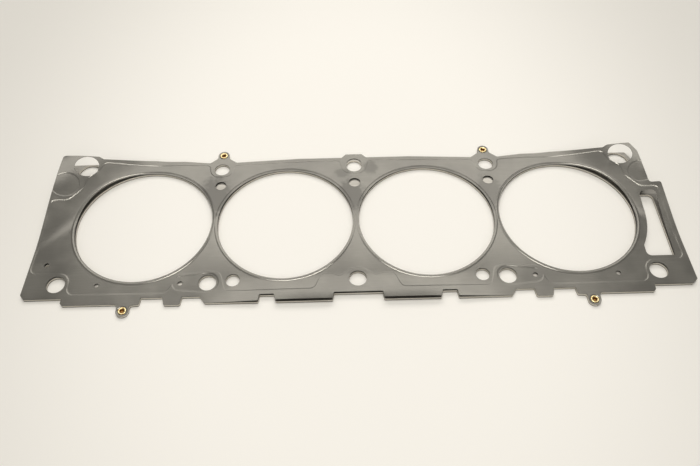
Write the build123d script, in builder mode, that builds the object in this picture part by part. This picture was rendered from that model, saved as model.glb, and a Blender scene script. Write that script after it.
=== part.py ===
from build123d import *
import os
from math import radians, tan

# Cylinder head gasket for one bank of four cylinders, multi-layer steel.
# A plain core lies between two thin embossed sheets, and four brass eyelets hold the stack.
# The upper sheet springs up off the core wherever the eyelets don't hold it down.
# X runs along the row of bores, +Y towards the exhaust side, +Z up towards the head.
# The origin is on the block face, in the middle of the row. All sizes are in millimetres.

# ---- bores ----
bore_count = 4
bore_pitch = 117.6  # centre to centre
bore_radius = 56.4

# ---- stack ----
sheet_thickness = 0.25  # each embossed outer sheet
core_thickness = 1.6
bead_height = 0.2  # how far a bead stands off its sheet, less than the sheet's thickness
fold_width = 0.4  # the strip where the two levels of a sheet run into each other
bead_inner = 1.0  # from a bore's edge to the near side of its bead
bead_outer = 2.6  # from a bore's edge to the far side of its bead

# ---- lines that the outline and the holes are set out from ----
web_x = bore_pitch  # middle of the web between an end bore and its neighbour
corner_x = 2 * bore_pitch  # level with the corner bolts
near_y = -(bore_radius + 13.5)  # edge beside the near corner bolts
notch_y = near_y - 1.0  # bottom of the notches in the near edge
tab_y = notch_y - 5.9  # tips of the near tabs
far_y = bore_radius + 14.4  # edge along the exhaust side
near_bead_y = near_y + 3.2  # perimeter bead along the near edge
far_bead_y = far_y - 4.4  # perimeter bead along the exhaust side
left_end = -(corner_x + 27.8)  # end edges, where they meet near_y
right_end = corner_x + 30.0
end_slope = 3.2  # degrees that each end leans in towards the exhaust side

# ---- holes: (x, y, radius), the same on both sides of the middle ----
near_bolt = (web_x + 0.5, -(bore_radius + 2.2), 7.0)
near_corner_bolt = (corner_x + 2.0, -(bore_radius + 0.9), 7.3)
far_bolt = (web_x - 0.8, bore_radius + 3.0, 6.5)
far_corner_port = (corner_x - 1.6, bore_radius + 2.7, 10.1)
dowel_hole = (web_x - 19.2, -(bore_radius + 0.6), 5.55)
bleed_hole = (web_x - 1.4, bore_radius - 16.2, 4.6)
oil_hole = (web_x + 21.9, -(bore_radius + 2.3), 1.9)
steam_hole = (corner_x - 30.3, -(bore_radius + 2.4), 1.8)

# ---- holes on the middle line, and one at the left end ----
near_middle_bolt = (0.0, -(bore_radius + 1.8), 7.0)
far_middle_bolt = (0.0, bore_radius + 4.4, 6.6)
middle_slot_length = 15.7  # oblong hole in the outer sheets over the far middle bolt
middle_slot_shift = 0.75  # its middle lies this far beyond the bolt's
middle_bleed_hole = (0.0, bore_radius - 15.7, 5.0)
drain_hole = (-(corner_x + 12.9), -39.1, 1.9)

# ---- transfer slot in the right end ----
slot_bore_wall = 8.4  # metal between the last bore and the slot
slot_outer_x = corner_x + 18.8
slot_foot_x = corner_x - 3.4  # where the slot's inner side turns down from its arc
slot_top_y = 20.0
slot_bottom_y = -43.7
ledge_y = slot_top_y + 6.9  # shelf in the right end above the slot
ledge_width = 8.9

# ---- pads in the two corners on the exhaust side: (x, y, radius) ----
left_pad = (-(corner_x + 12.9), bore_radius - 17.2, 11.6)
right_pad = (corner_x + 11.2, bore_radius - 17.3, 10.2)

# ---- eyelets ----
far_eyelet = (far_bolt[0], far_y + 6.0)
near_eyelet = (1.5 * bore_pitch + 4.8, tab_y - 5.1)
lug_radius = 4.9
eyelet_bore_radius = 1.5
eyelet_tube_radius = 2.1
eyelet_flange_radius = 3.3
eyelet_flange_thickness = 0.4
eyelet_floor = 0.3  # thickness of the closed bottom
eyelet_seat_margin = 0.5  # flat ring left round the flange
eyelet_clearance = 0.05  # round the tube, and under the flange

# ---- free form of the upper sheet ----
arch_rise = 2.6  # along the middle of the row
arch_overhang = 5.0  # the arch comes down to the core this far beyond the eyelets
corner_rise = 12.4  # at the two corners on the exhaust side
corner_start = corner_x - 5.2  # |x| + y where a corner starts to rise
corner_run = 92.0
lip_rise = 3.3  # along the middle of the near edge
lip_depth = 24.0  # from the tips of the near tabs
lip_half_length = 48.0  # the lip is fully open this far from the middle
lip_fade = 75.0
form_margin = 5.0  # the curved form is drawn this far past the outline
form_step_x = 15.0  # spacing of the points that it is drawn through
form_step_y = 8.0
form_tolerance = 0.05
cut_depth = 1.0  # height of the slabs that the two levels are cut out with, more than one bead
form_clearance = 0.05  # left under the upper sheet where the eyelets draw it down on the core

bore_centres = [bore_pitch * (i - (bore_count - 1) / 2) for i in range(bore_count)]
core_bottom = bead_height + sheet_thickness
core_top = core_bottom + core_thickness
upper_rest = core_top + form_clearance  # underside of the upper sheet where it isn't sprung
prism_height = upper_rest + sheet_thickness + bead_height + arch_rise + corner_rise + lip_rise


def mirrored(corners):
    """The same corners on the other side of the Y axis, in the opposite order."""
    return [(-x, y, r) for x, y, r in reversed(corners)]


def end_x(end, y):
    """X of the leaning end edge at height y, for end = left_end or right_end."""
    lean = (y - near_y) * tan(radians(end_slope))
    return end + lean if end < 0 else end - lean


def rounded(corners):
    """Face inside a closed outline of (x, y, corner radius) corners."""
    with BuildSketch() as face:
        with BuildLine():
            FilletPolyline(*[(x, y) for x, y, r in corners], radius=[r for x, y, r in corners], close=True)
        make_face()
    return face.sketch


def smooth(u):
    """0 below u = 0, 1 above u = 1, and an even S-curve between them."""
    u = min(max(u, 0.0), 1.0)
    return u * u * (3 - 2 * u)


# ---- outline of every layer ----
lug = lug_radius - 0.05  # corner radius that makes a lug's tip round
near_edge = [
    (19.0, notch_y, 0.8),
    (19.9, tab_y, 0.8),
    (web_x - 53.5, tab_y, 0.8),
    (web_x - 52.2, notch_y, 0.8),
    (web_x - 40.9, notch_y, 0.8),
    (web_x - 40.0, tab_y, 0.8),
    (web_x + 1.0, tab_y, 1.5),
    (web_x + 5.1, notch_y, 1.0),
    (web_x + 19.2, notch_y, 0.8),
    (web_x + 20.2, tab_y - 0.9, 1.5),
    (web_x + 32.6, tab_y - 0.9, 1.5),
    (web_x + 34.3, notch_y, 0.8),
    (near_eyelet[0] - 12.6, notch_y, 0.8),
    (near_eyelet[0] - 11.8, tab_y, 1.0),
    (near_eyelet[0] - lug_radius - 0.1, tab_y - 0.6, 2.0),
    (near_eyelet[0] - lug_radius, near_eyelet[1] - lug_radius, lug),
    (near_eyelet[0] + lug_radius, near_eyelet[1] - lug_radius, lug),
    (near_eyelet[0] + lug_radius, tab_y + 0.7, 2.5),
    (corner_x - 6.6, tab_y + 0.7, 1.2),
    (corner_x - 4.9, tab_y + 2.6, 0.8),
    (corner_x - 4.9, near_y, 0.6),
]
far_edge = [
    (corner_x - 10.6, far_y - 0.8, 1.5),
    (corner_x - 14.4, far_y - 2.9, 1.5),
    (1.5 * bore_pitch, far_y + 0.3, 40.0),
    (web_x + 32.4, far_y - 0.3, 40.0),
    (web_x + 10.7, far_y - 3.0, 2.0),
    (far_eyelet[0] + lug_radius, far_y + 2.6, 3.0),
    (far_eyelet[0] + lug_radius, far_eyelet[1] + lug_radius, lug),
    (far_eyelet[0] - lug_radius, far_eyelet[1] + lug_radius, lug),
    (far_eyelet[0] - lug_radius, far_y + 2.6, 3.0),
    (web_x - 12.8, far_y - 2.9, 2.0),
    (web_x - 67.6, far_y, 40.0),
    (10.9, far_y, 1.0),
    (7.2, far_y + 4.0, 1.0),
]
right_edge = [
    (end_x(right_end, near_y) - 4.6, near_y, 1.5),
    (end_x(right_end, near_y + 3.8), near_y + 3.8, 1.5),
    (end_x(right_end, ledge_y - 0.8), ledge_y - 0.8, 2.0),
    (end_x(right_end, ledge_y) - ledge_width, ledge_y, 2.5),
    (corner_x + 13.0, far_y - 10.8, 10.0),
    (corner_x + 8.4, far_y - 1.0, 2.0),
]
left_edge = [
    (end_x(left_end, far_y), far_y - 1.2, 2.5),
    (end_x(left_end, near_y + 3.8), near_y + 3.8, 1.5),
    (end_x(left_end, near_y) + 3.4, near_y, 1.5),
]
outline = rounded(near_edge + right_edge + far_edge + mirrored(far_edge) + left_edge + mirrored(near_edge))

# ---- field: what lies against the core in an outer sheet, inside the perimeter bead ----
field_near = [
    (4.6, near_middle_bolt[1] + 9.8, 7.0),
    (14.0, near_middle_bolt[1] + 2.4, 4.5),
    (20.0, near_middle_bolt[1] + 5.0, 4.0),
    (28.8, near_middle_bolt[1] + 5.0, 4.5),
    (34.6, near_bead_y, 5.0),
    (web_x - 13.6, near_bead_y, 4.5),
    (web_x - 8.4, near_bolt[1] + 10.9, 7.0),
    (web_x + 23.9, near_bolt[1] + 8.0, 6.0),
    (web_x + 32.4, near_bead_y - 0.6, 6.0),
    (corner_x - 7.6, near_bead_y, 6.0),
    (corner_x - 7.6, near_corner_bolt[1] + 9.9, 8.5),
    (corner_x + 25.0, near_corner_bolt[1] + 10.4, 5.0),
]
field_far = [
    (corner_x + 21.0, ledge_y - 4.3, 4.0),
    (corner_x + 7.8, ledge_y - 2.6, 9.0),
    (corner_x - 2.0, left_pad[1] - 2.2, 6.0),
    (corner_x - 4.2, far_corner_port[1] - 11.5, 6.0),
    (corner_x - 11.8, far_corner_port[1] - 4.3, 8.0),
    (corner_x - 16.2, far_bead_y - 1.5, 5.0),
    (web_x + 32.4, far_bead_y - 0.2, 60.0),
    (web_x + 10.0, far_bead_y - 1.8, 2.5),
    (far_bolt[0] + 9.4, far_bolt[1] - 8.8, 8.8),
    (far_bolt[0] - 9.2, far_bolt[1] - 8.8, 8.8),
    (web_x - 11.6, far_bead_y - 1.8, 2.5),
    (0.5 * bore_pitch, far_bead_y + 0.2, 60.0),
    (12.8, far_bead_y + 0.8, 2.5),
    (9.4, far_middle_bolt[1] - 9.2, 8.8),
]
field = rounded(field_near + field_far + mirrored(field_far) + mirrored(field_near))

# ---- transfer slot: straight outside, concentric with the last bore inside ----
slot_arc_radius = bore_radius + slot_bore_wall
slot_inner_x = bore_centres[-1] + slot_arc_radius - 0.2
slot_corners = rounded(
    [
        (slot_inner_x, slot_top_y, 4.0),
        (slot_inner_x, -2.0, 0.5),
        (slot_foot_x, -2.0, 0.5),
        (slot_foot_x, slot_bottom_y, 4.0),
        (slot_outer_x, slot_bottom_y, 1.5),
        (slot_outer_x, slot_top_y, 4.5),
    ]
)
with BuildSketch() as transfer_slot:
    add(slot_corners)
    with Locations((bore_centres[-1], 0)):
        Circle(slot_arc_radius, mode=Mode.SUBTRACT)


def bore_discs(radius, mode):
    """One disc of the same radius at every bore."""
    with Locations(*[(x, 0) for x in bore_centres]):
        Circle(radius, mode=mode)


def cut_holes(holes, both_sides):
    """Cut (x, y, radius) holes, and their copies across the middle."""
    for x, y, radius in holes:
        with Locations((-x, y), (x, y)) if both_sides else Locations((x, y)):
            Circle(radius, mode=Mode.SUBTRACT)


# ---- plans: what passes through every layer, and what only the outer sheets have ----
eyelet_hole_radius = eyelet_tube_radius + eyelet_clearance
eyelet_holes = [(x, y, eyelet_hole_radius) for x, y in (far_eyelet, near_eyelet)]
with BuildSketch() as core_plan:
    add(outline)
    bore_discs(bore_radius, Mode.SUBTRACT)
    add(transfer_slot.sketch, mode=Mode.SUBTRACT)
    cut_holes([near_bolt, near_corner_bolt, far_bolt, far_corner_port, dowel_hole] + eyelet_holes, True)
    cut_holes([near_middle_bolt, far_middle_bolt, drain_hole], False)

with BuildSketch() as sheet_plan:
    add(core_plan.sketch)
    cut_holes([bleed_hole, oil_hole, steam_hole], True)
    cut_holes([middle_bleed_hole], False)
    with Locations((far_middle_bolt[0], far_middle_bolt[1] + middle_slot_shift)):
        SlotOverall(middle_slot_length, 2 * far_middle_bolt[2], rotation=90, mode=Mode.SUBTRACT)

# ---- the two levels of an outer sheet ----
with BuildSketch() as oil_track:
    with Locations(near_bolt[:2]):
        Circle(near_bolt[2] + 1.6)
    with Locations(oil_hole[:2]):
        Circle(oil_hole[2] + 4.3)
    make_hull()

with BuildSketch() as low_region:
    add(field)
    add(oil_track.sketch)
    mirror(oil_track.sketch, about=Plane.YZ)
    for x, y, radius in (left_pad, right_pad):
        with Locations((x, y)):
            Circle(radius)
    for x, y in (far_eyelet, near_eyelet):
        with Locations((-x, y), (x, y)):
            Circle(eyelet_flange_radius + eyelet_seat_margin)

with BuildSketch() as recess:  # an outer sheet's resting level, seen from outside the stack
    add(low_region.sketch)
    bore_discs(bore_radius + bead_outer, Mode.SUBTRACT)
    bore_discs(bore_radius + bead_inner, Mode.ADD)

with BuildSketch() as contact:  # the same level seen from the core, with the folds round it
    add(low_region.sketch)
    offset(amount=fold_width)
    bore_discs(bore_radius + bead_outer - fold_width, Mode.SUBTRACT)
    bore_discs(bore_radius + bead_inner + fold_width, Mode.ADD)

# ---- upper sheet ----
arch_far_y = far_eyelet[1] + arch_overhang
arch_near_y = near_eyelet[1] - arch_overhang
form_box = outline.bounding_box()
form_size_x = form_box.size.X + 2 * form_margin
form_size_y = form_box.size.Y + 2 * form_margin


def spring_lift(x, y):
    """How far the upper sheet stands off the core at (x, y)."""
    across = (2 * y - arch_far_y - arch_near_y) / (arch_far_y - arch_near_y)
    arch = arch_rise * (1 - min(across**2, 1.0)) ** 2
    corner = corner_rise * smooth((abs(x) + y - corner_start) / corner_run)
    lip = lip_rise * max((tab_y + lip_depth - y) / lip_depth, 0.0) ** 2
    return arch + corner + lip * (1 - smooth((abs(x) - lip_half_length) / lip_fade))


def sprung_face():
    """The curved form of the upper sheet, as one smooth surface that rests on z = 0."""
    columns = round(form_size_x / form_step_x)
    rows = round(form_size_y / form_step_y)
    x_at = [form_box.min.X - form_margin + form_size_x * i / columns for i in range(columns + 1)]
    y_at = [form_box.min.Y - form_margin + form_size_y * j / rows for j in range(rows + 1)]
    points = [[Vector(x, y, spring_lift(x, y)) for y in y_at] for x in x_at]
    return Face.make_surface_from_array_of_points(points, tol=form_tolerance)


sprung_form = sprung_face()


def sprung_slab(plan, underside, thickness):
    """A slab of the curved form, cut to a plan."""
    with BuildPart() as slab:
        add(plan)
        extrude(amount=prism_height, both=True)
        form = Pos(0, 0, underside) * sprung_form
        extrude(form, amount=thickness, dir=(0, 0, 1), mode=Mode.INTERSECT)
    return slab.part


with BuildSketch() as bead_space:
    with Locations(form_box.center()):
        Rectangle(form_size_x - form_margin, form_size_y - form_margin)
    add(contact.sketch, mode=Mode.SUBTRACT)

# One slab holds both levels. It is cut away over the resting level and under the beads.
both_levels = sprung_slab(sheet_plan.sketch, upper_rest, bead_height + sheet_thickness)
over_recess = sprung_slab(recess.sketch, upper_rest + sheet_thickness, cut_depth)
under_beads = sprung_slab(bead_space.sketch, upper_rest + bead_height - cut_depth, cut_depth)
with BuildPart() as upper_sheet:
    add(both_levels)
    add(over_recess, mode=Mode.SUBTRACT)
    add(under_beads, mode=Mode.SUBTRACT)
upper_sheet.part.label = "upper_sheet"

# ---- core ----
with BuildPart() as core:
    with BuildSketch(Plane.XY.offset(core_bottom)):
        add(core_plan.sketch)
    extrude(amount=core_thickness)
core.part.label = "core"

# ---- lower sheet: the same plan, with its beads towards the block ----
with BuildPart() as lower_sheet:
    with BuildSketch(Plane.XY.offset(bead_height)):
        add(sheet_plan.sketch)
        add(contact.sketch, mode=Mode.INTERSECT)
    extrude(amount=sheet_thickness)
    with BuildSketch():
        add(sheet_plan.sketch)
        add(recess.sketch, mode=Mode.SUBTRACT)
    extrude(amount=sheet_thickness)
lower_sheet.part.label = "lower_sheet"


def make_eyelet(name, x, y):
    """A semi-tubular rivet: closed foot under the lower sheet, rolled flange over the upper one."""
    foot_top = bead_height - eyelet_clearance
    sheet_lift = max(spring_lift(x, y - eyelet_flange_radius), spring_lift(x, y + eyelet_flange_radius))
    seat = upper_rest + sheet_thickness + sheet_lift + eyelet_clearance
    flange_top = seat + eyelet_flange_thickness
    with BuildPart() as eyelet:
        with BuildSketch(Plane((x, y, 0), x_dir=(1, 0, 0), z_dir=(0, -1, 0))):
            with BuildLine():
                Polyline(
                    (0, 0),
                    (eyelet_flange_radius, 0),
                    (eyelet_flange_radius, foot_top),
                    (eyelet_tube_radius, foot_top),
                    (eyelet_tube_radius, seat),
                    (eyelet_flange_radius, seat),
                    (eyelet_flange_radius, flange_top),
                    (eyelet_bore_radius, flange_top),
                    (eyelet_bore_radius, eyelet_floor),
                    (0, eyelet_floor),
                    close=True,
                )
            make_face()
        revolve(axis=Axis((x, y, 0), (0, 0, 1)))
        rims = eyelet.edges().filter_by(GeomType.CIRCLE).group_by(Axis.Z)[-1]
        fillet(rims, radius=0.6 * eyelet_flange_thickness)
    eyelet.part.label = name
    return eyelet.part


# ---- one STEP file for each piece ----
os.makedirs("parts", exist_ok=True)
export_step(upper_sheet.part, "parts/upper_sheet.step")
export_step(core.part, "parts/core.step")
export_step(lower_sheet.part, "parts/lower_sheet.step")
for row, (x, y) in (("far", far_eyelet), ("near", near_eyelet)):
    for side, sign in (("left", -1), ("right", 1)):
        name = f"eyelet_{row}_{side}"
        export_step(make_eyelet(name, sign * x, y), f"parts/{name}.step")
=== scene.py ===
# %% [markdown]
# # A head gasket of three steel layers
#
# A multi-layer steel gasket seals the joint between an engine block and its cylinder head.
# It is a stack: a plain core of stainless steel between two thin sheets of coated spring steel,
# held together by four small brass eyelets until the head is bolted down.
# The outer sheets carry raised lines, the beads, which the bolts press flat and which push back.
# Loose on a table, the upper sheet springs up off the core between the eyelets and at two corners.
#
# The CAD model gives every hole, edge and height. This script reads the plan from it and makes
# each layer again as a smooth mesh, because rolled beads have soft flanks that catch the light.

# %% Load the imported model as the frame
import math

import bpy
import numpy as np
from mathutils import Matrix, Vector
from mathutils.geometry import delaunay_2d_cdt


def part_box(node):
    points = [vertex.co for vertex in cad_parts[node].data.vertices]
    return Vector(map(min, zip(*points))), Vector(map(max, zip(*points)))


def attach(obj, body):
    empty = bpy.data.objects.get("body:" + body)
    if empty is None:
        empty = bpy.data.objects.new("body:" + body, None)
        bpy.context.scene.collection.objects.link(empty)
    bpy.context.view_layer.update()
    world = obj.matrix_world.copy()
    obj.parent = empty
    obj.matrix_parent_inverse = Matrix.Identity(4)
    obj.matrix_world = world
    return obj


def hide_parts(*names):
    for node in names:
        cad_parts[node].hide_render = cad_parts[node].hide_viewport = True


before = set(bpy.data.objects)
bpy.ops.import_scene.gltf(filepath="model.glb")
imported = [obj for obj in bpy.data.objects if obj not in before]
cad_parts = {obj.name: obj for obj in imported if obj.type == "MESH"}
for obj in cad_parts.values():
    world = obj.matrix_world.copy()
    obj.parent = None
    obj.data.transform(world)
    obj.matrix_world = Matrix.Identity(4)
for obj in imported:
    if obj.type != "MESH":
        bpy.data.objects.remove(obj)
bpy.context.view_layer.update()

MM = 0.001
print("nodes:", sorted(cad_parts))

# %% [markdown]
# ## The heights of the stack
#
# The lower sheet's beads stand on the table, so its box starts at zero, and the core lies on the
# sheet's resting level. Plans are worked out in millimetres, the sizes a gasket maker thinks in,
# and only a finished mesh is scaled to metres.

# %% Heights, from the frame's boxes, in millimetres
SHEET_THICKNESS = 0.25
core_low, core_high = (corner.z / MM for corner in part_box("core"))
lower_rest = core_low - SHEET_THICKNESS
bead_height = lower_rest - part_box("lower_sheet")[0].z / MM
upper_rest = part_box("upper_sheet")[0].z / MM
print(f"core {core_low:.2f} to {core_high:.2f}, upper sheet from {upper_rest:.2f}")
print(f"beads {bead_height:.2f} high")

# %% [markdown]
# ## Reading the plan
#
# Each layer is a flat blank with holes. The rim of a flat face is made of the edges that only one
# of its triangles uses, so counting edges gives the outline and every hole in one go.
# The edges are chained into closed loops, because a loop can be divided evenly and smoothed.
# A loop is kept as complex numbers, x + iy: turning and measuring are then one operation each.

# %% Rims of the flat faces of a node
FLAT_WITHIN = 0.001
SAME_PLACE = 2.0  # holes of two layers whose middles are this near are one hole


def edges_of(triangles):
    """The three edges of every triangle, as pairs of point numbers in the triangle's own order."""
    return np.concatenate([triangles[:, [0, 1]], triangles[:, [1, 2]], triangles[:, [2, 0]]])


def flat_rims(node, height):
    """Closed loops of x + iy, in mm, round the triangles of a node that lie flat at one height.

    An edge is on the rim if no other of these triangles uses it the other way round.
    """
    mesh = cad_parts[node].data
    places = np.zeros(len(mesh.vertices) * 3)
    mesh.vertices.foreach_get("co", places)
    places = places.reshape(-1, 3) / MM
    corners = np.zeros(len(mesh.polygons) * 3, int)
    mesh.polygons.foreach_get("vertices", corners)
    corners = corners.reshape(-1, 3)
    flat = (np.abs(places[corners, 2] - height) < FLAT_WITHIN).all(axis=1)
    spots, merged = np.unique(np.round(places[:, :2], 4), axis=0, return_inverse=True)
    edges = edges_of(merged.reshape(-1)[corners[flat]])
    used = set(map(tuple, edges.tolist()))
    after = {a: b for a, b in sorted(used) if (b, a) not in used}
    loops = []
    while after:
        start, here = after.popitem()
        loop = [start]
        while here != start:
            loop.append(here)
            here = after.pop(here)
        loops.append(spots[loop] @ (1, 1j))
    return loops


def loop_area(loop):
    """Half the sum of neighbours' cross products: positive where the loop runs anticlockwise."""
    return 0.5 * np.sum(np.imag(np.conj(loop) * np.roll(loop, -1)))


def loop_key(loop):
    """Area and middle, rounded: a hole has the same ones through the sheet's whole thickness."""
    return round(abs(loop_area(loop)), 1), complex(np.round(loop.mean(), 1))


def same_holes(loops, others):
    """The holes that two levels share: loops of one set that match a loop of the other."""
    keys = {loop_key(loop) for loop in others}
    return [loop for loop in loops if loop_key(loop) in keys]


core_rims = flat_rims("core", core_high)
outline = max(core_rims, key=lambda loop: abs(loop_area(loop)))
core_holes = [loop for loop in core_rims if loop is not outline]
resting_top = flat_rims("lower_sheet", core_low)
resting_under = flat_rims("lower_sheet", lower_rest)
raised_top = flat_rims("lower_sheet", SHEET_THICKNESS)
raised_under = flat_rims("lower_sheet", 0.0)
sheet_holes = same_holes(resting_top, resting_under) + same_holes(raised_top, raised_under)
sheet_holes = [loop for loop in sheet_holes if loop_area(loop) < 0]
middles = np.array([loop.mean() for loop in sheet_holes])
sheet_holes += [loop for loop in core_holes if np.abs(middles - loop.mean()).min() > SAME_PLACE]
print("holes: core", len(core_holes), "outer sheets", len(sheet_holes))

# %% [markdown]
# ## Where the beads run
#
# Two kinds of bead are pressed into an outer sheet. A full bead, a round ridge, rings each bore.
# A half bead is a step: outside it the sheet is one bead height higher than inside.
# The CAD model draws each step as a thin vertical wall between two flat levels. The line of that
# wall is the rim of the low level, so it is read as the other rims are, then smoothed a little,
# and every piece of it that is only the sheet's own edge is left out.

# %% Bores, and the line of the half bead
BORE_AREA = 5000.0  # mm2, well over any bolt hole
EDGE_REACH = 0.3  # nearer than this to the sheet's edge, a rim is only that edge
RING_REACH = 4.0  # a round rim this near to a bore's edge belongs to the ridge
LINE_STEP = 1.0
TABLE_LIMIT = 20_000_000  # distances worked out at once


def divided(loop, step):
    """The loop with every side cut into equal parts no longer than step, all its corners kept."""
    sides = np.roll(loop, -1) - loop
    parts = np.ceil(np.abs(sides) / step).astype(int)
    first = np.repeat(np.cumsum(parts) - parts, parts)
    share = (np.arange(parts.sum()) - first) / np.repeat(parts, parts)
    return np.repeat(loop, parts) + np.repeat(sides, parts) * share


def evened(loop, step):
    """Points at equal steps of arc length round the loop, each the mean of its near neighbours."""
    closed = np.append(loop, loop[0])
    travelled = np.append(0, np.cumsum(np.abs(np.diff(closed))))
    count = round(travelled[-1] / step)
    even = np.interp(np.arange(count) * travelled[-1] / count, travelled, closed)
    return 0.25 * np.roll(even, 1) + 0.5 * even + 0.25 * np.roll(even, -1)


def nearest(points, targets):
    """Number of the target nearest each point. The table of distances is worked out in slices."""
    slices = np.array_split(points, max(1, len(points) * len(targets) // TABLE_LIMIT))
    return np.concatenate([np.abs(part[:, None] - targets).argmin(axis=1) for part in slices])


bores = [loop for loop in core_holes if abs(loop_area(loop)) > BORE_AREA]
bore_middles = np.array(sorted((loop.mean() for loop in bores), key=lambda middle: middle.real))
bore_radius = np.abs(bores[0] - bores[0].mean()).mean()
sheet_edges = np.concatenate([divided(loop, EDGE_REACH) for loop in [outline] + sheet_holes])

line_points, line_normals = [], []
for loop in resting_under:
    ring = np.abs(np.abs(loop - loop.mean()) - bore_radius).max() < RING_REACH
    if loop_area(loop) > 0 or ring:
        continue
    even = evened(loop, LINE_STEP)
    along = np.roll(even, -1) - np.roll(even, 1)
    on_edge = np.abs(even - sheet_edges[nearest(even, sheet_edges)]) < EDGE_REACH
    line_points.append(even[~on_edge])
    line_normals.append((1j * along / np.abs(along))[~on_edge])
line_points = np.concatenate(line_points)
line_normals = np.concatenate(line_normals)
print(f"bore radius {bore_radius:.2f} mm at", np.round(bore_middles.real, 1))
print("half bead:", round(len(line_points) * LINE_STEP), "mm long")

# %% [markdown]
# ## The form of an outer sheet
#
# Both outer sheets are one shape: a level, a smooth step across the half bead, and a ridge round
# each bore. The step follows an S-curve and the ridge a cosine, as sheet steel does when it is
# rolled between dies. The upper sheet adds its spring: a low arch over the whole width, a lip
# along the middle of the near edge, and two corners that curl up.

# %% Height functions, in millimetres, for arrays of x + iy
FLANK_WIDTH = 0.8  # across the half bead's slope
RIDGE_MIDDLE = 1.75  # from the bore's edge to the crest of its ridge
RIDGE_HALF_WIDTH = 0.95


def s_curve(u):
    """0 up to u = 0, 1 from u = 1, and three u squared less two u cubed between them."""
    u = np.clip(u, 0.0, 1.0)
    return u * u * (3 - 2 * u)


def bead_form(points):
    """How much of the bead height a point has: the step beside the line, or the ridge if higher.

    The step is the S-curve of the distance past the line, measured along the line's normal.
    The ridge is the square of a cosine of the distance from its crest.
    """
    close = nearest(points, line_points)
    away = points - line_points[close]
    past = np.real(away * np.conj(line_normals[close]))
    step = s_curve(past / FLANK_WIDTH + 0.5)
    from_bore = np.abs(points[:, None] - bore_middles).min(axis=1) - bore_radius
    across = (from_bore - RIDGE_MIDDLE) / RIDGE_HALF_WIDTH
    ridge = np.cos(np.clip(across, -1, 1) * math.pi / 2) ** 2
    inside = from_bore < RIDGE_MIDDLE + 2 * RIDGE_HALF_WIDTH
    return np.where(inside, ridge, step)


ARCH_RISE = 2.6
ARCH_NEAR, ARCH_FAR = -86.9, 81.8  # y where the arch comes down
CORNER_RISE = 12.4
CORNER_START = 230.0  # |x| + y where a corner starts to curl
CORNER_RUN = 92.0
LIP_RISE = 3.3
LIP_START, LIP_END = -52.8, -76.8  # y where the lip starts to open, and of the tabs' tips
LIP_HALF_LENGTH = 48.0
LIP_FADE = 75.0


def spring_lift(points):
    """How far the upper sheet stands off the core: an arch plus two curled corners plus a lip.

    The arch is the square of one less the square of the way from its middle line to its foot. A
    corner follows the S-curve of |x| + y, and the lip the square of the way to its tip, faded out
    along x by another S-curve.
    """
    x, y = np.abs(points.real), points.imag
    across = (2 * y - ARCH_FAR - ARCH_NEAR) / (ARCH_FAR - ARCH_NEAR)
    arch = ARCH_RISE * (1 - np.clip(across**2, 0, 1)) ** 2
    corner = CORNER_RISE * s_curve((x + y - CORNER_START) / CORNER_RUN)
    lip = LIP_RISE * np.clip((LIP_START - y) / (LIP_START - LIP_END), 0, None) ** 2
    return arch + corner + lip * (1 - s_curve((x - LIP_HALF_LENGTH) / LIP_FADE))


far_corner = outline[np.argmax(np.abs(outline.real) + outline.imag)]
lifts = spring_lift(np.array([0j, 1j * LIP_END, far_corner]))
print("lift in mm at the middle, the near lip and a far corner:", np.round(lifts, 1))

# %% [markdown]
# ## From a plan to a mesh
#
# A grid would cut the beads into steps, so the points are laid where the form needs them: rows
# that follow each bead, closer together where it bends, and a loose grid in between. A constrained
# Delaunay triangulation joins them all and keeps every rim as an edge of the mesh.

# %% Points that follow the beads
STEP_ROWS = (-1.0, -0.4, -0.27, -0.13, 0.0, 0.13, 0.27, 0.4, 1.0)
RING_ROWS = (0.35, 0.8, 1.05, 1.3, 1.52, 1.75, 1.98, 2.2, 2.45, 2.7, 3.4, 4.4)
RING_POINTS = 360
SEAM_CLEARANCE = 0.1  # the rings of two bores end this far before the line between them
GRID_STEP = 5.0
BEAD_CLEARANCE = 3.0
RING_CLEARANCE = 1.0


def bead_rows():
    """Rows beside the half bead's line, and rings round each bore up to half way to the next."""
    rows = [line_points + offset * line_normals for offset in STEP_ROWS]
    half_pitch = 0.5 * (bore_middles[1] - bore_middles[0]).real
    turn = np.exp(2j * math.pi * np.arange(RING_POINTS) / RING_POINTS)
    for offset in RING_ROWS:
        ring = (bore_radius + offset) * turn
        for number, middle in enumerate(bore_middles):
            left = SEAM_CLEARANCE - half_pitch if number > 0 else -np.inf
            right = half_pitch - SEAM_CLEARANCE if number < len(bore_middles) - 1 else np.inf
            rows.append(middle + ring[(ring.real > left) & (ring.real < right)])
    return np.concatenate(rows)


def loose_grid(low, high):
    """A grid over the blank, alternate rows shifted by half a step, clear of the beads."""
    columns = np.arange(low.real, high.real, GRID_STEP)
    rows = np.arange(low.imag, high.imag, GRID_STEP)
    x, y = np.meshgrid(columns, rows)
    x[::2] += 0.5 * GRID_STEP
    points = (x + 1j * y).ravel()
    to_line = np.abs(points - line_points[nearest(points, line_points)])
    from_bore = np.abs(points[:, None] - bore_middles).min(axis=1) - bore_radius
    return points[(to_line > BEAD_CLEARANCE) & (from_bore > max(RING_ROWS) + RING_CLEARANCE)]


low = complex(outline.real.min(), outline.imag.min())
high = complex(outline.real.max(), outline.imag.max())
grid = loose_grid(low, high)
inner = np.concatenate([bead_rows(), grid])
print(len(inner), "points inside the rims,", len(grid), "of them on the loose grid")

# %% Triangles between the points
RIM_STEP = 1.5
RIM_CLEARANCE = 0.25
ROUND_WITHIN = 0.01  # a hole is round if no spoke is off the mean by more than this part of it
ONLY_INSIDE = 1  # give back only what lies inside the outline
MERGED_WITHIN = 1e-5


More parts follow.
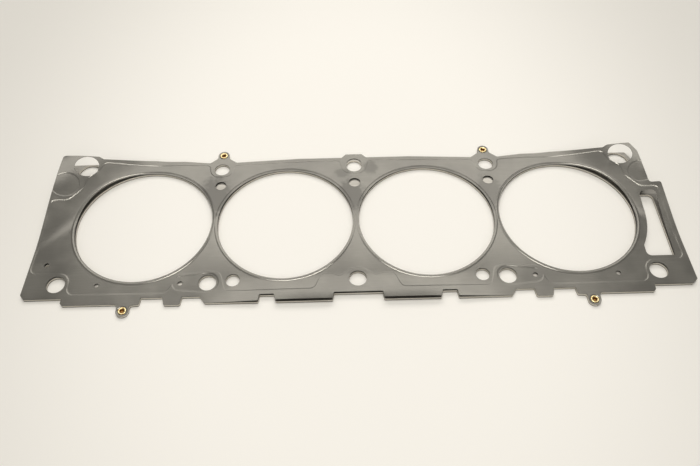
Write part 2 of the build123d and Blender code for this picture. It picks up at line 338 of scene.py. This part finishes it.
def rounded_rim(loop):
    """The rim divided evenly. A hole that is round is put back on its true circle."""
    rim = divided(loop, RIM_STEP)
    spokes = loop - loop.mean()
    radius = np.abs(spokes).mean()
    if np.abs(np.abs(spokes) - radius).max() > ROUND_WITHIN * radius:
        return rim
    return loop.mean() + radius * (rim - loop.mean()) / np.abs(rim - loop.mean())


def triangulated(loops, inner):
    """Points and triangles of a blank, from its outline, its holes and the points between them.

    Each loop goes in as a face, so that every triangle comes back with the loops it lies in. What
    lies in the outline alone is metal.
    """
    rims = [rounded_rim(loop) for loop in loops]
    rims = [rim if loop_area(rim) > 0 else rim[::-1] for rim in rims]
    starts = np.cumsum([0] + [len(rim) for rim in rims])
    faces = [list(range(start, end)) for start, end in zip(starts[:-1], starts[1:])]
    rim_points = np.concatenate(rims)
    gap = np.abs(inner - rim_points[nearest(inner, rim_points)])
    points = np.concatenate([rim_points, inner[gap > RIM_CLEARANCE]])
    spots = [Vector(spot) for spot in np.stack([points.real, points.imag], axis=1).tolist()]
    cut = delaunay_2d_cdt(spots, [], faces, ONLY_INSIDE, MERGED_WITHIN, True)
    points = np.array([spot[:] for spot in cut[0]]) @ (1, 1j)
    metal = [triangle for triangle, loops_round in zip(cut[2], cut[5]) if loops_round == [0]]
    triangles = np.array(metal)
    a, b, c = points[triangles].T
    turned = np.imag(np.conj(b - a) * (c - a)) < 0
    triangles[turned] = triangles[turned][:, ::-1]
    kept, triangles = np.unique(triangles, return_inverse=True)
    return points[kept], triangles.reshape(-1, 3)


sheet_plan = triangulated([outline] + sheet_holes, inner)
core_plan = triangulated([outline] + core_holes, grid)
print("triangles in a plan: sheet", len(sheet_plan[1]), "core", len(core_plan[1]))

# %% [markdown]
# ## The three layers
#
# A layer is a closed shell: the same triangles above and below, and a wall round every rim.
# Punching leaves a slightly rolled corner, so the two faces stop short of the wall by the roll
# and a narrow bevel joins them. That bevel is what catches the light along a real edge.
# Faces that meet at a small angle are shaded as one. The limit is set between the slope of a
# bead's flank, 21 degrees at most, and the bevel's 45, which must not spread into the flat face.

# %% A layer as a closed shell
LAYER_SMOOTH_UNDER = 25.0  # degrees


def link(name, mesh):
    """An object for a mesh, in the scene and riding on the gasket's one body."""
    piece = bpy.data.objects.new(name, mesh)
    bpy.context.scene.collection.objects.link(piece)
    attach(piece, "root")
    return piece


def layer(name, points, triangles, under, thickness, roll, cut_edge=False):
    """A closed mesh between the heights under and under + thickness, for points on one plan.

    With cut_edge, the walls take the second of the layer's materials.
    Rim edges are the edges that one triangle uses. A rim point's faces are drawn in by the roll,
    against the mean of the outward directions of the two rim edges that meet there.
    """
    edges = edges_of(triangles)
    keys = np.sort(edges, axis=1) @ (len(points), 1)
    _, first, uses = np.unique(keys, return_index=True, return_counts=True)
    rim = edges[first[uses == 1]]
    outward = points[rim[:, 0]] - points[rim[:, 1]]
    outward = 1j * outward / np.abs(outward)
    total = np.zeros(len(points), complex)
    np.add.at(total, rim[:, 0], outward)
    np.add.at(total, rim[:, 1], outward)
    on_rim = np.flatnonzero(np.abs(total) > 0)
    faces_at = points.copy()
    faces_at[on_rim] -= roll * total[on_rim] / np.abs(total[on_rim])

    def row(plan, height):
        return np.stack([plan.real, plan.imag, height], axis=1)

    rows = [row(faces_at, under), row(faces_at, under + thickness)]
    rows += [row(points, under + roll)[on_rim], row(points, under + thickness - roll)[on_rim]]
    count = len(points)
    number = np.zeros(count, int)
    number[on_rim] = np.arange(len(on_rim))
    a, b = rim.T
    low_a, low_b = 2 * count + number[a], 2 * count + number[b]
    high_a, high_b = low_a + len(on_rim), low_b + len(on_rim)
    walls = [(a, b, low_b, low_a), (low_a, low_b, high_b, high_a)]
    walls += [(high_a, high_b, b + count, a + count)]
    walls = np.concatenate([np.stack(wall, axis=1) for wall in walls])
    faces = (triangles + count).tolist() + triangles[:, ::-1].tolist() + walls.tolist()
    mesh = bpy.data.meshes.new(name)
    mesh.from_pydata((np.concatenate(rows) * MM).tolist(), [], faces)
    if cut_edge:
        is_wall = np.repeat([0, 1], [2 * len(triangles), len(walls)]).astype(np.int32)
        mesh.polygons.foreach_set("material_index", is_wall)
    mesh.shade_smooth()
    mesh.set_sharp_from_angle(angle=math.radians(LAYER_SMOOTH_UNDER))
    print(f"{name}: {len(mesh.vertices)} points, {2 * len(triangles) + 2 * len(walls)} triangles")
    return link(name, mesh)


# %% Upper sheet, core and lower sheet
SHEET_ROLL = 0.05
CORE_ROLL = 0.12

sheet_form = bead_form(sheet_plan[0]) * bead_height
upper_under = upper_rest + spring_lift(sheet_plan[0]) + sheet_form
lower_under = lower_rest - sheet_form
core_under = np.full(len(core_plan[0]), core_low)
core_thickness = core_high - core_low

upper = layer("formed_upper_sheet", *sheet_plan, upper_under, SHEET_THICKNESS, SHEET_ROLL)
lower = layer("formed_lower_sheet", *sheet_plan, lower_under, SHEET_THICKNESS, SHEET_ROLL)
core = layer("core_plate", *core_plan, core_under, core_thickness, CORE_ROLL, cut_edge=True)
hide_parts("upper_sheet")
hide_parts("lower_sheet")
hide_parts("core")

# %% [markdown]
# ## The eyelets
#
# Each eyelet is a short brass cup. A punch has turned its top over into a smooth rolled lip with
# a funnel-shaped mouth, and its closed foot is pressed flat under the lower sheet. The brass inside
# the cup is painted darker and browner: painted shade in the hollow.

# %% Eyelets, turned from one profile
EYELET_STEPS = 48
BORE, TUBE, FLANGE = 1.5, 2.1, 3.3  # radii in mm
LIP_HEIGHT = 0.4
MOUTH_DEPTH = 0.9
CREST_SHIFT = 0.1  # the lip is highest this far outside the middle of its width
FOOT_TOP = 0.15
FOOT_BEVEL = 0.08 + 0.05j  # inwards and upwards
CUP_FLOOR = 0.3
CUP_CORNER = 0.4  # radius between the cup's wall and its floor
# inside this radius the cup takes the darker brass, which is painted shade
SHADED_CUP_RADIUS = 2.0  # inside this radius
EYELET_SMOOTH_UNDER = 40.0  # degrees, well over the 15 between the sides of a rounded part


def quarter(middle, half_size, start, steps=6):
    """Points of a quarter ellipse as radius + i height, anticlockwise from an angle in degrees."""
    angle = np.radians(np.linspace(start, start + 90, steps + 1))
    return middle + half_size.real * np.cos(angle) + 1j * half_size.imag * np.sin(angle)


def eyelet_profile(top):
    """Half of the cross-section, from the foot outwards, over the lip and down to the floor."""
    crest = 0.5 * (BORE + FLANGE) + CREST_SHIFT
    nose = top - 0.5 * LIP_HEIGHT
    foot = [FLANGE - FOOT_BEVEL.real, FLANGE + 1j * FOOT_BEVEL.imag]
    tube = [FLANGE + 1j * FOOT_TOP, TUBE + 1j * FOOT_TOP, TUBE + 1j * (top - LIP_HEIGHT)]
    lip_below = quarter(crest + 1j * nose, FLANGE - crest + 0.5j * LIP_HEIGHT, -90)
    lip_above = quarter(crest + 1j * nose, FLANGE - crest + 0.5j * LIP_HEIGHT, 0)
    mouth = quarter(crest + 1j * (top - MOUTH_DEPTH), crest - BORE + 1j * MOUTH_DEPTH, 90)
    cup = BORE - CUP_CORNER + 1j * (CUP_FLOOR + CUP_CORNER)
    cup = quarter(cup, CUP_CORNER + 1j * CUP_CORNER, -90)[::-1]
    return np.concatenate([foot, tube, lip_below, lip_above[1:], mouth[1:], cup])


def turned(name, middle, profile):
    """The profile spun round a vertical axis: a ring of faces for each side, a disc at each end."""
    turn = np.exp(2j * math.pi * np.arange(EYELET_STEPS) / EYELET_STEPS)
    plan = middle + profile.real[:, None] * turn
    height = np.repeat(profile.imag[:, None], EYELET_STEPS, axis=1)
    places = np.stack([plan.real, plan.imag, height], axis=2).reshape(-1, 3)
    number = np.arange(plan.size).reshape(plan.shape)
    round_it = np.roll(number, -1, axis=1)
    faces = np.stack([number[:-1], round_it[:-1], round_it[1:], number[1:]], axis=2).reshape(-1, 4)
    mesh = bpy.data.meshes.new(name)
    discs = [number[0, ::-1].tolist(), number[-1].tolist()]
    mesh.from_pydata((places * MM).tolist(), [], faces.tolist() + discs)
    inner = np.maximum(profile.real[:-1], profile.real[1:]) < SHADED_CUP_RADIUS
    inside = np.append(np.repeat(inner, EYELET_STEPS), [False, True])
    mesh.polygons.foreach_set("material_index", inside.astype(np.int32))
    mesh.shade_smooth()
    mesh.set_sharp_from_angle(angle=math.radians(EYELET_SMOOTH_UNDER))
    return link(name, mesh)


eyelets = []
for node in sorted(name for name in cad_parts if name.startswith("eyelet")):
    corner_a, corner_b = (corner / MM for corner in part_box(node))
    middle = complex(corner_a.x + corner_b.x, corner_a.y + corner_b.y) / 2
    eyelet = turned("rolled_" + node, middle, eyelet_profile(corner_b.z))
    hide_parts(node)
    eyelets.append(eyelet)
print("eyelets:", [eyelet.name for eyelet in eyelets])

# %% [markdown]
# ## Materials
#
# Patterns are measured on the object: object coordinates are metres, so a noise scale of
# 1000 / size gives a pattern of that size in millimetres. Colours are written as the hex codes
# seen on a screen and turned into the linear values that light adds up in. One helper adds every
# node. A mix of colours takes its factor and its two colours at inputs 0, 6 and 7, and gives the
# result at output 2, because the same node also mixes numbers and vectors.

# %% Colour and node helpers
def linear(code):
    """A screen colour as linear RGBA: the sRGB curve undone, channel by channel."""
    channels = [int(code[start : start + 2], 16) / 255 for start in (1, 3, 5)]
    return [c / 12.92 if c <= 0.04045 else ((c + 0.055) / 1.055) ** 2.4 for c in channels] + [1.0]


def add_node(tree, kind, inputs=(), **settings):
    """A new node with its settings. Inputs go in order, or by name or number in a dictionary.

    An input is given a plain value, or the socket that it is joined to.
    """
    node = tree.nodes.new(kind)
    for name, value in settings.items():
        setattr(node, name, value)
    for name, value in inputs.items() if isinstance(inputs, dict) else enumerate(inputs):
        if isinstance(value, bpy.types.NodeSocket):
            tree.links.new(value, node.inputs[name])
        else:
            node.inputs[name].default_value = value
    return node


def new_material(name):
    """A material with one Principled shader, and where its patterns are measured from."""
    material = bpy.data.materials.new(name)
    material.use_nodes = True
    tree = material.node_tree
    tree.nodes.clear()
    shader = add_node(tree, "ShaderNodeBsdfPrincipled")
    add_node(tree, "ShaderNodeOutputMaterial", {"Surface": shader.outputs["BSDF"]})
    place = add_node(tree, "ShaderNodeTexCoord").outputs["Object"]
    return material, tree, shader, place


SMOOTH = {"interpolation_type": "SMOOTHSTEP"}  # a range drawn out with soft ends
COLOUR = {"data_type": "RGBA"}
NOISE_RANGE = (0.3, 0.7)  # nearly all of a noise texture's values lie between these
print("mid grey #808080 is", round(linear("#808080")[0], 3), "in linear light")

# %% [markdown]
# ## Coated spring steel
#
# The outer sheets are cold-rolled spring steel under a few hundredths of a millimetre of grey
# coating. They look satin and darker than bare steel, with the strip's rolling grain faintly
# visible along them, and with marks where they were rubbed. A plain grey paint would look like
# plastic and a full metal like a mirror. So the shader is set part of the way to metal, as light
# comes back both from the coating and from the steel under it, and stretched noise is the grain.

# %% Coated spring steel: satin grey, so a bead shows as a bright or a dark line
CLOUD_SIZE = 45.0  # mm, slow changes in the coating's tone
GRAIN_WIDTH = 0.5  # mm across, as coarse as it needs to be to show: real rolling lines are finer
GRAIN_STRETCH = 0.03
GRAIN_DARKENING = 0.2
SPECK_SIZE = 0.35  # mm
SPECK_HEIGHT = 0.00001  # metres
SPECK_STRENGTH = 0.25
CLOUD_RANGE = (0.35, 0.65)
RAGGED_SIZE = 4.0  # mm, the unevenness of a patch's edge
RAGGED_RANGE = (1.2, 1.8)  # a patch fades out here, in half widths from its middle plus the noise
COATING_METALLIC = 0.4
COATING_ROUGHNESS = (0.17, 0.22)


def coated_steel(name, patches=()):
    """Grey coated steel, darker in each patch: x, y, half width, half height in mm, strength."""
    material, tree, shader, place = new_material(name)
    inputs = {"Vector": place, "Scale": 1000 / CLOUD_SIZE, "Detail": 3.0, "Roughness": 0.6}
    clouds = add_node(tree, "ShaderNodeTexNoise", inputs).outputs["Fac"]
    inputs = {"Vector": place, "Scale": (GRAIN_STRETCH, 1.0, 1.0)}
    lengthways = add_node(tree, "ShaderNodeMapping", inputs).outputs["Vector"]
    inputs = {"Vector": lengthways, "Scale": 1000 / GRAIN_WIDTH, "Detail": 2.0}
    grain = add_node(tree, "ShaderNodeTexNoise", inputs).outputs["Fac"]
    inputs = {"Vector": place, "Scale": 1000 / SPECK_SIZE, "Detail": 1.0}
    specks = add_node(tree, "ShaderNodeTexNoise", inputs).outputs["Fac"]

    inputs = (clouds, *CLOUD_RANGE, 0.0, 1.0)
    factor = add_node(tree, "ShaderNodeMapRange", inputs, **SMOOTH).outputs["Result"]
    inputs = {0: factor, 6: linear("#716f69"), 7: linear("#7f7d76")}
    colour = add_node(tree, "ShaderNodeMix", inputs, **COLOUR).outputs[2]
    inputs = (grain, *NOISE_RANGE, 0.0, GRAIN_DARKENING)
    factor = add_node(tree, "ShaderNodeMapRange", inputs, **SMOOTH).outputs["Result"]
    inputs = {0: factor, 6: colour, 7: linear("#625f58")}
    colour = add_node(tree, "ShaderNodeMix", inputs, **COLOUR).outputs[2]
    # a patch darkens the colour: the rubbed marks and the painted shade on the webs alike
    for x, y, half_width, half_height, strength in patches:
        inputs = {"Vector": place, "Location": (-x / half_width, -y / half_height, 0.0)}
        inputs["Scale"] = (1000 / half_width, 1000 / half_height, 0.0)
        shift = add_node(tree, "ShaderNodeMapping", inputs).outputs["Vector"]
        away = add_node(tree, "ShaderNodeVectorMath", (shift,), operation="LENGTH").outputs["Value"]
        inputs = {"Vector": place, "Scale": 1000 / RAGGED_SIZE, "Detail": 3.0}
        noise = add_node(tree, "ShaderNodeTexNoise", inputs).outputs["Fac"]
        ragged = add_node(tree, "ShaderNodeMath", (away, noise), operation="ADD").outputs["Value"]
        inputs = (ragged, *RAGGED_RANGE, strength, 0.0)
        factor = add_node(tree, "ShaderNodeMapRange", inputs, **SMOOTH).outputs["Result"]
        inputs = {0: factor, 6: colour, 7: linear("#4d4b46")}
        colour = add_node(tree, "ShaderNodeMix", inputs, **COLOUR).outputs[2]
    tree.links.new(colour, shader.inputs["Base Color"])

    inputs = (clouds, *CLOUD_RANGE, *COATING_ROUGHNESS)
    roughness = add_node(tree, "ShaderNodeMapRange", inputs, **SMOOTH).outputs["Result"]
    tree.links.new(roughness, shader.inputs["Roughness"])
    shader.inputs["Metallic"].default_value = COATING_METALLIC
    inputs = {"Height": specks, "Strength": SPECK_STRENGTH, "Distance": SPECK_HEIGHT}
    bump = add_node(tree, "ShaderNodeBump", inputs).outputs["Normal"]
    tree.links.new(bump, shader.inputs["Normal"])
    return material


# Two rubbed patches lie either side of the far middle hole. The darker patches on the far half of
# the three webs between the bores are painted shade.
RUBBED = [(-10.0, 52.5, 6.5, 5.5, 0.5), (14.5, 58.5, 6.5, 7.5, 0.5)]
PAINTED_SHADE_ON_WEBS = [
    (-120.0, 28.0, 13.0, 22.0, 0.8),
    (-3.0, 26.0, 11.0, 18.0, 0.75),
    (115.0, 26.0, 11.0, 18.0, 0.5),
]
upper.data.materials.append(coated_steel("coated_spring_steel_upper", RUBBED + PAINTED_SHADE_ON_WEBS))
lower.data.materials.append(coated_steel("coated_spring_steel_lower"))
for piece in (upper, lower):
    print(piece.name, "has", piece.data.materials[0].name)

# %% [markdown]
# ## Stainless steel
#
# The core is plain rolled stainless steel. Its faces look grey and brushed along the strip, and
# show only inside the holes. Its punched edge is the bright line under the upper sheet: a sheared
# wall is rough, so it is evenly light instead of mirroring. Both are one material made twice,
# from streaks drawn out along the strip, because only the tone and the roughness differ.

# %% Stainless steel: streaked grey on the rolled face, pale and matt on the sheared edge
STREAK_WIDTH = 0.8  # mm across, coarser than real rolling lines so that it shows
STREAK_STRETCH = 0.02
MOTTLE_SIZE = 30.0  # mm
STREAK_ROUGHER, MOTTLE_ROUGHER = 0.06, 0.05  # at most, over the smoothest places


def stainless(name, bright, dull, smoothest):
    """Stainless steel between two colours, in streaks drawn out along the strip."""
    material, tree, shader, place = new_material(name)
    inputs = {"Vector": place, "Scale": (STREAK_STRETCH, 1.0, 1.0)}
    lengthways = add_node(tree, "ShaderNodeMapping", inputs).outputs["Vector"]
    inputs = {"Vector": lengthways, "Scale": 1000 / STREAK_WIDTH, "Detail": 3.0}
    streaks = add_node(tree, "ShaderNodeTexNoise", inputs).outputs["Fac"]
    inputs = {"Vector": place, "Scale": 1000 / MOTTLE_SIZE}
    mottle = add_node(tree, "ShaderNodeTexNoise", inputs).outputs["Fac"]

    inputs = (streaks, *NOISE_RANGE, 0.0, 1.0)
    factor = add_node(tree, "ShaderNodeMapRange", inputs, **SMOOTH).outputs["Result"]
    inputs = {0: factor, 6: linear(bright), 7: linear(dull)}
    colour = add_node(tree, "ShaderNodeMix", inputs, **COLOUR).outputs[2]
    tree.links.new(colour, shader.inputs["Base Color"])

    roughness = smoothest
    for pattern, rougher in ((streaks, STREAK_ROUGHER), (mottle, MOTTLE_ROUGHER)):
        inputs = (pattern, *NOISE_RANGE, 0.0, rougher)
        more = add_node(tree, "ShaderNodeMapRange", inputs, **SMOOTH).outputs["Result"]
        inputs = (roughness, more)
        roughness = add_node(tree, "ShaderNodeMath", inputs, operation="ADD").outputs["Value"]
    tree.links.new(roughness, shader.inputs["Roughness"])
    shader.inputs["Metallic"].default_value = 1.0
    return material


core.data.materials.append(stainless("rolled_stainless_steel", "#aeaba4", "#9b9891", 0.42))
core.data.materials.append(stainless("sheared_stainless_steel", "#d8d4cb", "#c3beb4", 0.38))
print(core.name, "has", [material.name for material in core.data.materials])

# %% [markdown]
# ## Brass
#
# Eyelets are drawn from brass strip and tumbled bright. The rolled lip is a pale yellow, and the
# brass inside the cup is painted darker and browner, as painted shade in the hollow. One texture
# over the whole eyelet could fade from one to the other, but the change is sharp at the mouth, so
# the faces inside the cup take a second material. In both, patches of tarnish are darker and also
# rougher.

# %% Brass: pale yellow and bright on the lip, dull in the cup and darker brown there as painted shade
TARNISH_SIZE = 1.2  # mm
TARNISH_RANGE = (0.4, 0.7)
TARNISH_ROUGHER = 0.2


def brass(name, bright, tarnished, smoothest):
    """Brass between two colours, in patches of tarnish about a millimetre across."""
    material, tree, shader, place = new_material(name)
    inputs = {"Vector": place, "Scale": 1000 / TARNISH_SIZE, "Detail": 3.0}
    tarnish = add_node(tree, "ShaderNodeTexNoise", inputs).outputs["Fac"]
    inputs = (tarnish, *TARNISH_RANGE, 0.0, 1.0)
    factor = add_node(tree, "ShaderNodeMapRange", inputs, **SMOOTH).outputs["Result"]
    inputs = {0: factor, 6: linear(bright), 7: linear(tarnished)}
    colour = add_node(tree, "ShaderNodeMix", inputs, **COLOUR).outputs[2]
    tree.links.new(colour, shader.inputs["Base Color"])
    inputs = (tarnish, *TARNISH_RANGE, smoothest, smoothest + TARNISH_ROUGHER)
    roughness = add_node(tree, "ShaderNodeMapRange", inputs, **SMOOTH).outputs["Result"]
    tree.links.new(roughness, shader.inputs["Roughness"])
    shader.inputs["Metallic"].default_value = 1.0
    return material


lip_brass = brass("bright_brass", "#e4d3a2", "#bd9f66", 0.24)
# the darker brown of the cup is painted shade in the hollow
shaded_cup_brass = brass("painted_shade_cup_brass", "#b98f55", "#866238", 0.40)
for eyelet in eyelets:
    eyelet.data.materials.append(lip_brass)
    eyelet.data.materials.append(shaded_cup_brass)
print("materials:", sorted(material.name for material in bpy.data.materials))

# %% [markdown]
# ## Floor
#
# The gasket lies on a sheet of warm white paper. Studio paper is matt, and the light on it falls
# off towards the sides. That falloff is painted shade: more lights could make it, but they would
# also show in the steel, so the paper's own colour fades from the middle out instead.

# %% Floor
FLOOR_SIZE = 8.0  # metres
FLOOR_DROP = 0.0002  # metres, just under the gasket, so that the two faces don't share a plane
LIGHT_FALLOFF_RANGE = (0.12, 0.42)  # metres from the middle
LIGHT_FALLOFF_STRETCH = (1.0, 0.6, 1.0)  # under 1 along y, so the paper darkens sooner to the sides
bpy.ops.mesh.primitive_plane_add(size=FLOOR_SIZE, location=(0, 0, -FLOOR_DROP))
floor = bpy.context.object
floor.name = "floor"
paper, paper_tree, paper_shader, paper_place = new_material("warm_white_paper")
inputs = {"Vector": paper_place, "Scale": LIGHT_FALLOFF_STRETCH}
spot = add_node(paper_tree, "ShaderNodeMapping", inputs).outputs["Vector"]
out = add_node(paper_tree, "ShaderNodeVectorMath", (spot,), operation="LENGTH").outputs["Value"]
inputs = (out, *LIGHT_FALLOFF_RANGE, 0.0, 1.0)
shade = add_node(paper_tree, "ShaderNodeMapRange", inputs, **SMOOTH).outputs["Result"]
# the darker colour towards the sides is painted shade, the light's falloff
inputs = {0: shade, 6: linear("#faf8f2"), 7: linear("#dfddd7")}
paper_colour = add_node(paper_tree, "ShaderNodeMix", inputs, **COLOUR).outputs[2]
paper_tree.links.new(paper_colour, paper_shader.inputs["Base Color"])
paper_shader.inputs["Roughness"].default_value = 0.85
paper_shader.inputs["Specular IOR Level"].default_value = 0.2
floor.data.materials.append(paper)
print("floor:", FLOOR_SIZE, "m square")

# %% [markdown]
# ## Light
#
# Satin steel looks like what it mirrors, so each light is set by the slope that should catch it.
# The flat sheet mirrors the back light. The overhead light is narrow, and only bead flanks that
# lean towards the camera mirror it, as bright lines. Between the two and beyond them it is dark,
# so the curled corners and the flanks that lean away turn dark. The front light is broad and low:
# it lights the walls that face the camera, and seen from behind the flat sheet mirrors it. An
# even glow fills the shadows.

# %% Three softboxes and an even glow
def softbox(name, width, depth, energy, distance, angle):
    """A rectangular light aimed at the origin, in metres and watts, leaning back by an angle.

    The angle is in degrees from overhead, and a negative one leans towards the camera's side.
    """
    data = bpy.data.lights.new(name, "AREA")
    data.shape = "RECTANGLE"
    data.size, data.size_y = width, depth
    data.energy = energy
    data.color = linear("#fffbf5")[:3]
    light = bpy.data.objects.new(name, data)
    lean = math.radians(angle)
    light.location = (0.0, distance * math.sin(lean), distance * math.cos(lean))
    light.rotation_euler = (-lean, 0.0, 0.0)
    bpy.context.scene.collection.objects.link(light)


softbox("overhead_softbox", 0.80, 0.30, 12.0, 1.6, 2.0)
softbox("back_softbox", 1.80, 0.86, 12.8, 1.8, 39.5)
softbox("front_softbox", 1.60, 0.80, 5.2, 1.8, -55.0)

world = bpy.data.worlds.new("studio")
bpy.context.scene.world = world
world.use_nodes = True
background = world.node_tree.nodes["Background"]
background.inputs["Color"].default_value = linear("#fbfaf8")
background.inputs["Strength"].default_value = 0.22
print("lights:", [light.name for light in bpy.data.lights])

# %% [markdown]
# ## Camera
#
# The camera looks down at the gasket from the near side, almost square to the row of bores. Its
# place and turn are fixed numbers, so that the view stays the same whatever is made before it.

# %% Camera
CAMERA_PLACE = (-8.2229, -348.057, 455.508)  # mm
CAMERA_TURN = (0.63645, 0.01038, -0.02301)  # radians
PICTURE_WIDTH = 700  # pixels
FOCAL_LENGTH = 682.84  # pixels
SENSOR_WIDTH = 36.0  # mm
camera_data = bpy.data.cameras.new("camera")
camera_data.sensor_width = SENSOR_WIDTH
camera_data.lens = FOCAL_LENGTH / PICTURE_WIDTH * SENSOR_WIDTH
camera_data.clip_start = 0.01
camera = bpy.data.objects.new("camera", camera_data)
camera.location = [part * MM for part in CAMERA_PLACE]
camera.rotation_euler = CAMERA_TURN
bpy.context.scene.collection.objects.link(camera)
bpy.context.scene.camera = camera
bpy.context.scene.view_settings.view_transform = "Standard"
print(f"lens {camera_data.lens:.2f} mm")

# %% Update the scene
bpy.context.view_layer.update()
